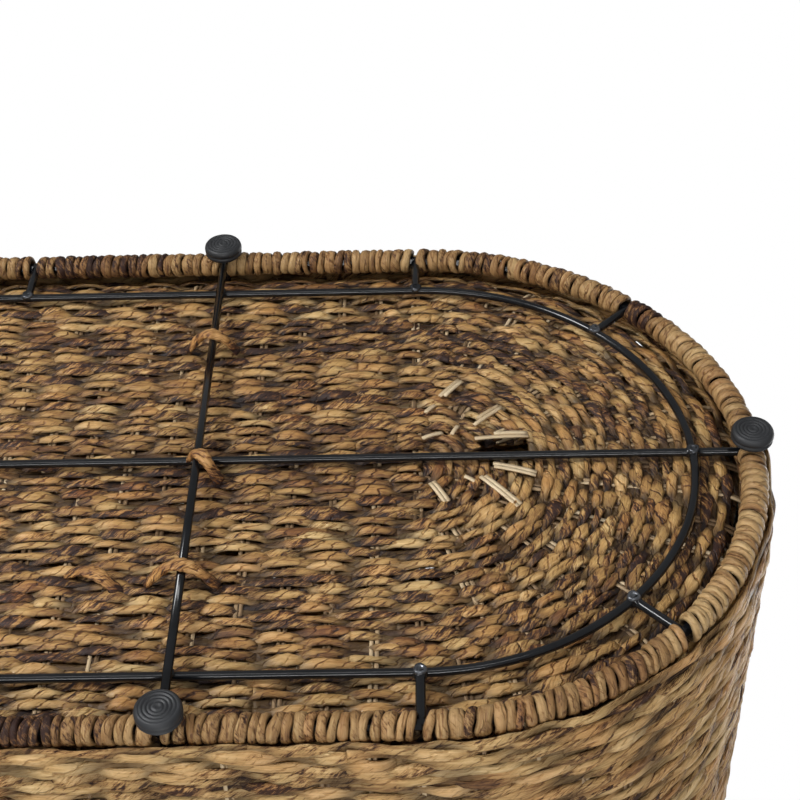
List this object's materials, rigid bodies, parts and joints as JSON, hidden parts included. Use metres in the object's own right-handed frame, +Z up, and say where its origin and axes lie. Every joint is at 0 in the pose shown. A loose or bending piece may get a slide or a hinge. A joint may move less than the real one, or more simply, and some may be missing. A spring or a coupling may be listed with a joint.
{
  "type": "wicker storage trunk",
  "caption": "Long oval storage trunk woven from twisted leaf strand on a black wire frame, with wrapped rims, rubber feet and a hinged lid.",
  "frame": {"origin": "on the floor under the middle of the trunk", "axes": "+X along the length, +Y towards the hinged back, +Z up"},
  "size_m": [0.927, 0.415, 0.4126],
  "materials": {
    "black_wire": "black powder coat, semi-gloss",
    "rubber_foot": "dark grey moulded rubber, satin",
    "leaf_strand": "twisted dried leaf strand, golden tan to dark brown, matt to satin",
    "rim_wrap": "wound dried leaf strand, light tan, satin",
    "hinge_steel": "zinc plated steel, dull"
  },
  "bodies": {
    "trunk": {"base_ring_rod": "black_wire", "inner_oval_wire": "black_wire", "long_wire": "black_wire", "cross_wire_left": "black_wire", "cross_wire_right": "black_wire", "stub_left_end": "black_wire", "stub_right_end": "black_wire", "stub_left_front_corner": "black_wire", "stub_left_back_corner": "black_wire", "stub_right_front_corner": "black_wire", "stub_right_back_corner": "black_wire", "stub_left_front": "black_wire", "stub_left_back": "black_wire", "stub_right_front": "black_wire", "stub_right_back": "black_wire", "stub_middle_front": "black_wire", "stub_middle_back": "black_wire", "upright_front_left": "black_wire", "upright_front_right": "black_wire", "upright_back_left": "black_wire", "upright_back_right": "black_wire", "upright_left_end": "black_wire", "upright_right_end": "black_wire", "top_ring_rod": "black_wire", "base_rim_wrap": "rim_wrap", "top_rim_wrap": "rim_wrap", "bottom_weave": "leaf_strand", "side_weave": "leaf_strand", "tie_left_front": "leaf_strand", "tie_left_middle": "leaf_strand", "tie_left_back": "leaf_strand", "tie_right_front": "leaf_strand", "tie_right_middle": "leaf_strand", "tie_right_back": "leaf_strand", "foot_pad_front_left": "rubber_foot", "foot_pad_front_right": "rubber_foot", "foot_pad_back_left": "rubber_foot", "foot_pad_back_right": "rubber_foot", "foot_pad_left_end": "rubber_foot", "foot_pad_right_end": "rubber_foot", "foot_stud_front_left": "black_wire", "foot_stud_front_right": "black_wire", "foot_stud_back_left": "black_wire", "foot_stud_back_right": "black_wire", "foot_stud_left_end": "black_wire", "foot_stud_right_end": "black_wire", "hinge_left_body_leaf": "hinge_steel", "hinge_left_pin": "hinge_steel", "hinge_right_body_leaf": "hinge_steel", "hinge_right_pin": "hinge_steel"},
    "lid": {"lid_ring_rod": "black_wire", "lid_rim_wrap": "rim_wrap", "lid_weave": "leaf_strand", "lid_hoop_left": "black_wire", "lid_hoop_right": "black_wire", "hinge_left_lid_leaf": "hinge_steel", "hinge_right_lid_leaf": "hinge_steel"}
  },
  "joints": [
    {"name": "lid_hinge", "type": "hinge", "parent": "trunk", "child": "lid", "pos_m": [0, 0.2033, 0.349], "axis": [-1, 0, 0], "range_deg": [0, 100]}
  ]
}
